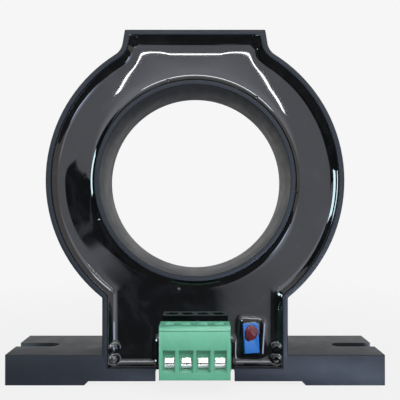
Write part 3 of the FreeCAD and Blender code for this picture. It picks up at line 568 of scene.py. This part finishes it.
class StageSettings(bpy.types.PropertyGroup):
    """Camera, floor and light."""
    camera_place: FloatVectorProperty(name="Camera place", description="Where the lens stands",
                                      default=(1.56 * MM, -215 * MM, -7.7 * MM), subtype="TRANSLATION")
    camera_lens: FloatProperty(name="Focal length", description="Lens on a 36 mm sensor", default=57.6)
    camera_pitch: FloatProperty(name="Pitch", description="Upward tilt of the camera",
                                default=math.radians(0.45), subtype="ANGLE")
    key_power: FloatProperty(name="Key power", description="Power of the overhead soft box",
                             default=5.0, subtype="POWER")
    tube_power: FloatProperty(name="Tube power", description="Power of the tube light above the camera",
                              default=2.6, subtype="POWER")
    strip_power: FloatProperty(name="Strip power", description="Power of the strip light behind the camera",
                               default=0.4, subtype="POWER")
    satin_power: FloatProperty(name="Satin power",
                               description="Power of the low lamp on the housing's satin face",
                               default=1.1, subtype="POWER")
    lamp_power: FloatProperty(name="Lamp power", description="Power of the small lamp on the plated clamps",
                              default=1.2, subtype="POWER")
    window_power: FloatProperty(name="Window power", description="Power of the window on the left",
                                default=15.0, subtype="POWER")


class SENSOR_OT_dress_housing(bpy.types.Operator):
    """Finish the moulded housing"""
    bl_idname = "sensor.dress_housing"
    bl_label = "Housing"

    def execute(self, context):
        softened("housing", "housing_moulding", 0.12 * MM)
        sheen = add_light("satin_lamp", (0.13, -0.30, -0.145), (0.045, 0, -0.06), 0.08, 0.06,
                          context.scene.sensor_stage.satin_power)
        sheen.data.color = SKY_BLUE
        sheen.light_linking.blocker_collection = light_only(sheen, "housing_moulding")
        return {"FINISHED"}


class SENSOR_OT_cast_fill(bpy.types.Operator):
    """Cast the epoxy fill with its meniscus"""
    bl_idname = "sensor.cast_fill"
    bl_label = "Epoxy fill"

    def execute(self, context):
        piece, sizes = cast_fill(context.scene.sensor_fill)
        set_fill_normals(piece, sizes)
        place_on_body(piece, "potting")
        return {"FINISHED"}


class SENSOR_OT_dress_terminal(bpy.types.Operator):
    """Finish the plug, its header and its contacts"""
    bl_idname = "sensor.dress_terminal"
    bl_label = "Terminal"

    def execute(self, context):
        softened("plug_body", "plug_moulding", 0.12 * MM)
        softened("terminal_header", "header_moulding", 0.12 * MM)
        for node in frame["nodes"]:
            if node.startswith(("contact_", "header_pin_")):
                paint(frame["nodes"][node], SLOTS[node])
        return {"FINISHED"}


class SENSOR_OT_dress_clamps(bpy.types.Operator):
    """Finish the clamp cages and their screws"""
    bl_idname = "sensor.dress_clamps"
    bl_label = "Clamps"

    def execute(self, context):
        for node in frame["nodes"]:
            if node.startswith("clamp_"):
                softened(node, node.replace("clamp", "plated_clamp"), 0.06 * MM)
        lamp = add_light("window_lamp", (0.03, -0.6, -0.1), (0, -0.02, -0.052), 0.2, 0.12,
                         context.scene.sensor_stage.lamp_power)
        light_only(lamp, ("plated_clamp", "contact_"))
        return {"FINISHED"}


class SENSOR_OT_dress_trimmer(bpy.types.Operator):
    """Finish the trimmer with its lacquered screw"""
    bl_idname = "sensor.dress_trimmer"
    bl_label = "Trimmer"

    def execute(self, context):
        softened("trimmer_body", "trimmer_case", 0.1 * MM)
        dab_lacquer(context.scene.sensor_lacquer)
        return {"FINISHED"}


class SENSOR_OT_dress_inside(bpy.types.Operator):
    """Finish the parts sealed in the epoxy"""
    bl_idname = "sensor.dress_inside"
    bl_label = "Inner parts"

    def execute(self, context):
        for node, piece in frame["nodes"].items():
            if not piece.hide_render:
                paint(piece, SLOTS[node])
        return {"FINISHED"}


def dab_lacquer(settings):
    """A dab of lacquer over the trimmer's screw: a flat drop with a wandering edge."""
    low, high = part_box("trimmer_seal")
    middle, half = (low + high) / 2, (high - low) / 2
    bm = bmesh.new()
    bmesh.ops.create_uvsphere(bm, u_segments=96, v_segments=32, radius=1.0)
    for vert in bm.verts:
        angle = math.atan2(vert.co.y, vert.co.x)
        wander = settings.wander * (math.sin(2 * angle + 0.7) + 0.6 * math.sin(3 * angle + 2.0)
                                    + 0.45 * math.sin(5 * angle + 0.4) + 0.3 * math.sin(9 * angle))
        reach = math.hypot(vert.co.x, vert.co.y)
        lump = 1 + settings.lump * math.sin(6.0 * vert.co.x + 1.0) * math.cos(7.0 * vert.co.y + 0.5)
        rise = math.copysign(abs(vert.co.z) ** 0.6, vert.co.z) * (1 - 0.12 * reach) * lump
        side = 1.0 + wander
        vert.co = (middle.x + half.x * side * vert.co.x,
                   TRIMMER_LOW.y - settings.thickness * rise,
                   middle.z + half.z * side * vert.co.y)
    bmesh.ops.recalc_face_normals(bm, faces=bm.faces)
    piece = new_piece("lacquer_dab", bm)
    piece.data.shade_smooth()
    place_on_body(piece, "trimmer_seal")


def aim(item, target):
    """Turns a light or camera towards a point."""
    item.rotation_euler = (Vector(target) - item.location).to_track_quat("-Z", "Y").to_euler()


def add_light(name, place, target, width, height, power):
    """A rectangular lamp that the camera doesn't see."""
    data = bpy.data.lights.new(name, "AREA")
    data.shape = "RECTANGLE"
    data.size, data.size_y = width, height
    data.energy = power
    light = bpy.data.objects.new(name, data)
    light.location = place
    light.visible_camera = False
    bpy.context.scene.collection.objects.link(light)
    aim(light, target)
    return light


def hide_from(item, *rays):
    """Keeps a stage object out of some kinds of ray."""
    for ray in rays:
        setattr(item, "visible_" + ray, False)


def build_floor():
    """A pale floor that keeps the shadow and fades into the backdrop away from the object."""
    bm = bmesh.new()
    bmesh.ops.create_circle(bm, cap_ends=True, cap_tris=True, segments=64, radius=1.2)
    bmesh.ops.translate(bm, verts=bm.verts, vec=(0, 0, HOUSING_LOW.z))
    floor = new_piece("studio_floor", bm)
    hide_from(floor, "glossy")
    material = bpy.data.materials.new("painted_floor")
    material.use_nodes = True
    tree = material.node_tree
    tree.nodes.clear()
    place = add_node(tree, "ShaderNodeTexCoord").outputs["Object"]
    split = add_node(tree, "ShaderNodeSeparateXYZ", {"Vector": place})
    flat = add_node(tree, "ShaderNodeCombineXYZ", {"X": split.outputs["X"], "Y": split.outputs["Y"]})
    away = add_node(tree, "ShaderNodeVectorMath", {0: flat.outputs["Vector"]}, operation="LENGTH")
    fade = add_node(tree, "ShaderNodeMapRange", {"Value": away.outputs["Value"]},
                    {"From Min": 0.09, "From Max": 0.3}, interpolation_type="SMOOTHSTEP")
    path = add_node(tree, "ShaderNodeLightPath")
    matte = add_node(tree, "ShaderNodeBsdfDiffuse", values={"Color": linear("#C0C0C0")})
    glow = add_node(tree, "ShaderNodeEmission", values={"Color": BACKDROP, "Strength": 1.0})
    share = add_node(tree, "ShaderNodeMath", {0: path.outputs["Is Camera Ray"]}, {1: 0.9},
                     operation="MULTIPLY")
    mix = add_node(tree, "ShaderNodeMixShader", {0: share.outputs["Value"], 1: matte.outputs["BSDF"],
                                                 2: glow.outputs["Emission"]})
    clear = add_node(tree, "ShaderNodeBsdfTransparent")
    edge = add_node(tree, "ShaderNodeMixShader", {0: fade.outputs["Result"], 1: mix.outputs["Shader"],
                                                  2: clear.outputs["BSDF"]})
    add_node(tree, "ShaderNodeOutputMaterial", {"Surface": edge.outputs["Shader"]})
    floor.data.materials.append(material)


def build_world():
    """A pale backdrop to the camera and in reflections, and a soft even fill for matt surfaces."""
    world = bpy.data.worlds.new("studio")
    bpy.context.scene.world = world
    world.use_nodes = True
    tree = world.node_tree
    tree.nodes.clear()
    path = add_node(tree, "ShaderNodeLightPath")
    seen = add_node(tree, "ShaderNodeBackground", values={"Color": BACKDROP, "Strength": 1.0})
    lit = add_node(tree, "ShaderNodeBackground", values={"Color": linear("#E9EDF2"), "Strength": 0.75})
    first = add_node(tree, "ShaderNodeMath", {0: path.outputs["Is Camera Ray"],
                                              1: path.outputs["Is Glossy Ray"]}, operation="MAXIMUM")
    both = add_node(tree, "ShaderNodeMath", {0: first.outputs["Value"],
                                             1: path.outputs["Is Transmission Ray"]}, operation="MAXIMUM")
    mix = add_node(tree, "ShaderNodeMixShader", {0: both.outputs["Value"], 1: lit.outputs["Background"],
                                                 2: seen.outputs["Background"]})
    add_node(tree, "ShaderNodeOutputWorld", {"Surface": mix.outputs["Shader"]})


def add_card(name, place, target, width, height, paint_card):
    """A card that only reflections see. paint_card gives its glow from across and up, each 0 to 1."""
    bm = bmesh.new()
    bmesh.ops.create_grid(bm, x_segments=1, y_segments=1, size=0.5)
    bmesh.ops.scale(bm, verts=bm.verts, vec=(width, height, 1))
    card = new_piece(name, bm)
    card.location = place
    card.rotation_euler = (Vector(place) - Vector(target)).to_track_quat("Z", "Y").to_euler()
    hide_from(card, "camera", "diffuse", "transmission", "shadow", "volume_scatter")
    material = bpy.data.materials.new(name + "_cloth")
    material.use_nodes = True
    tree = material.node_tree
    tree.nodes.clear()
    at = add_node(tree, "ShaderNodeTexCoord").outputs["Object"]
    split = add_node(tree, "ShaderNodeSeparateXYZ", {"Vector": at})
    across = add_node(tree, "ShaderNodeMapRange", {"Value": split.outputs["X"]},
                      {"From Min": -width / 2, "From Max": width / 2}).outputs["Result"]
    up = add_node(tree, "ShaderNodeMapRange", {"Value": split.outputs["Y"]},
                  {"From Min": -height / 2, "From Max": height / 2}).outputs["Result"]
    glow = add_node(tree, "ShaderNodeEmission", {"Color": paint_card(tree, across, up)}, {"Strength": 1.0})
    add_node(tree, "ShaderNodeOutputMaterial", {"Surface": glow.outputs["Emission"]})
    card.data.materials.append(material)


def tone(tree, value, stops, tint=(1.0, 1.0, 1.0)):
    """A tone along a value, from pairs of place and brightness up to 4."""
    ramp = add_node(tree, "ShaderNodeValToRGB", {"Fac": value})
    set_ramp(ramp, [(at, [level / 4 * c for c in tint] + [1.0]) for at, level in stops])
    scale = add_node(tree, "ShaderNodeVectorMath", {0: ramp.outputs["Color"]}, {1: (4.0, 4.0, 4.0)},
                     operation="MULTIPLY")
    return scale.outputs["Vector"]


def room_tones(tree, across, up):
    """The room behind the camera: a desk, dark on the left, under a grey wall and a paler ceiling."""
    desk_stops = [(0.0, 0.06), (0.512, 0.12), (0.526, 0.9), (0.56, 1.3), (0.62, 2.6), (1.0, 3.0)]
    desk = tone(tree, across, desk_stops, ROOM_TINT)
    wall = tone(tree, up, [(0.0, 1.4), (0.57, 1.45), (0.62, 2.5), (1.0, 2.8)], ROOM_TINT)
    edge = add_node(tree, "ShaderNodeMapRange", {"Value": up}, {"From Min": 0.432, "From Max": 0.462})
    mix = add_node(tree, "ShaderNodeMix", {"Factor": edge.outputs["Result"], "A": desk, "B": wall},
                   data_type="VECTOR")
    return mix.outputs["Result"]


def flag_tones(tree, across, up):
    """The dark left of the room: its right edge is straight and its top uneven, like goods on shelves."""
    off = add_node(tree, "ShaderNodeCombineXYZ", {"X": across, "Y": up})
    goods = add_node(tree, "ShaderNodeTexNoise", {"Vector": off.outputs["Vector"]},
                     {"Scale": 45.0, "Detail": 2.0})
    uneven = add_node(tree, "ShaderNodeMath", {0: goods.outputs["Fac"], 2: up}, {1: 0.1},
                      operation="MULTIPLY_ADD")
    right = tone(tree, across, [(0.0, 0.05), (0.992, 0.06), (1.0, 1.4)], ROOM_TINT)
    top_stops = [(0.0, 0.06), (0.73, 0.06), (0.75, 0.5), (0.765, 0.5), (0.785, 0.06), (0.985, 0.06),
                 (1.0, 1.4)]
    top = tone(tree, uneven.outputs["Value"], top_stops, ROOM_TINT)
    larger = add_node(tree, "ShaderNodeVectorMath", {0: right, 1: top}, operation="MAXIMUM")
    return larger.outputs["Vector"]


def grey_tones(tree, across, up):
    """The plain wall on the right."""
    return tone(tree, up, [(0.0, 0.9), (1.0, 1.0)], (1.05, 1.0, 0.95))


def bounce_tones(tree, across, up):
    """A bright blue-white sheet low on the right."""
    sheet = tone(tree, across, [(0.0, 0.5), (0.2, 4.0), (1.0, 4.0)], SKY_BLUE)
    bright = add_node(tree, "ShaderNodeVectorMath", {0: sheet}, {1: (2.5, 2.5, 2.5)}, operation="MULTIPLY")
    return bright.outputs["Vector"]


def horizon_tones(tree, across, up):
    """The dim desk behind the object, which the inside of the bore sees."""
    return tone(tree, up, [(0.0, 0.08), (0.8, 0.12), (1.0, 0.7)])


def dim_tones(tree, across, up):
    """The dim desk in front of the object."""
    return tone(tree, up, [(0.0, 0.12), (1.0, 0.12)])


def window_tones(tree, across, up):
    """The dark wall round the window on the left."""
    return tone(tree, across, [(0.0, 0.06), (1.0, 0.06)], (0.8, 1.0, 1.05))


def light_only(light, starts):
    """Lets a light reach only the pieces whose names start in a given way."""
    lit = bpy.data.collections.new(light.name + "_lit")
    for piece in bpy.context.scene.objects:
        if piece.name.startswith(starts):
            lit.objects.link(piece)
    light.light_linking.receiver_collection = lit
    return lit


class SENSOR_OT_lay_stage(bpy.types.Operator):
    """Lay the floor, the lights and the camera"""
    bl_idname = "sensor.lay_stage"
    bl_label = "Stage"

    def execute(self, context):
        settings = context.scene.sensor_stage
        scene = context.scene
        scene.view_settings.view_transform = "Standard"
        camera = bpy.data.objects.new("camera", bpy.data.cameras.new("camera"))
        camera.data.lens = settings.camera_lens
        camera.data.sensor_width = 36.0
        camera.data.clip_start = 0.01
        camera.location = settings.camera_place
        camera.rotation_euler = (math.radians(90) + settings.camera_pitch, 0, 0)
        scene.collection.objects.link(camera)
        scene.camera = camera
        build_floor()
        build_world()
        add_light("overhead_tube", (0.1, -0.75, 0.45), (0, 0, 0), 0.7, 0.05, settings.tube_power)
        key = add_light("key_soft_box", (0.25, -0.5, 0.9), (0, 0, 0), 0.9, 0.9, settings.key_power)
        hide_from(key, "glossy")
        add_light("strip_light", (0.022, -1.4, 0.21), (0, 0, 0), 0.35, 0.009, settings.strip_power)
        window = add_light("window_light", (-1.1, -0.8, 0.13), (0, 0, 0), 0.52, 0.45, settings.window_power)
        window.data.color = (0.7, 0.92, 1.0)
        hide_from(window, "diffuse")
        add_card("flag_card", (-0.97, -1.45, -0.17), (-0.97, 0, -0.17), 1.46, 0.55, flag_tones)
        add_card("bounce_card", (0.44, -0.86, -0.27), (0.045, 0, -0.06), 0.3, 0.1, bounce_tones)
        add_card("room_card", (0.0, -1.6, 0.0), (0, 0, 0), 3.2, 3.2, room_tones)
        add_card("left_card", (-1.5, -0.7, 0.0), (0, 0, 0), 1.8, 2.4, window_tones)
        add_card("right_card", (1.5, -0.7, 0.0), (0, 0, 0), 1.8, 2.4, grey_tones)
        add_card("desk_card", (0.0, -0.7, -0.4), (0, -0.7, 0.5), 3.0, 1.8, dim_tones)
        add_card("back_desk_card", (0.0, 1.6, -0.8), (0, 0, -0.8), 4.0, 1.4, horizon_tones)
        return {"FINISHED"}


class SENSOR_PT_panel(bpy.types.Panel):
    """Steps that dress the sensor"""
    bl_idname = "SENSOR_PT_panel"
    bl_label = "Leakage current sensor"
    bl_space_type = "VIEW_3D"
    bl_region_type = "UI"
    bl_category = "Sensor"

    def draw(self, context):
        for step in STEPS:
            self.layout.operator(step.bl_idname)


STEPS = (
    SENSOR_OT_lay_stage,
    SENSOR_OT_dress_housing,
    SENSOR_OT_cast_fill,
    SENSOR_OT_dress_terminal,
    SENSOR_OT_dress_clamps,
    SENSOR_OT_dress_trimmer,
    SENSOR_OT_dress_inside,
)
GROUPS = (SensorFinish, FillSettings, LacquerSettings, StageSettings)
CLASSES = GROUPS + STEPS + (SENSOR_PT_panel,)


def register():
    """Registers the classes and hangs the settings on the scene."""
    for item in CLASSES:
        bpy.utils.register_class(item)
    bpy.types.Scene.sensor_finish = PointerProperty(type=SensorFinish)
    bpy.types.Scene.sensor_fill = PointerProperty(type=FillSettings)
    bpy.types.Scene.sensor_lacquer = PointerProperty(type=LacquerSettings)
    bpy.types.Scene.sensor_stage = PointerProperty(type=StageSettings)


def unregister():
    """Takes back what register did."""
    del bpy.types.Scene.sensor_stage
    del bpy.types.Scene.sensor_lacquer
    del bpy.types.Scene.sensor_fill
    del bpy.types.Scene.sensor_finish
    for item in reversed(CLASSES):
        bpy.utils.unregister_class(item)


def main():
    """Registers the classes and runs every step."""
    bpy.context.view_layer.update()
    register()
    for step in STEPS:
        group, name = step.bl_idname.split(".")
        getattr(getattr(bpy.ops, group), name)()


if __name__ == "__main__":
    main()
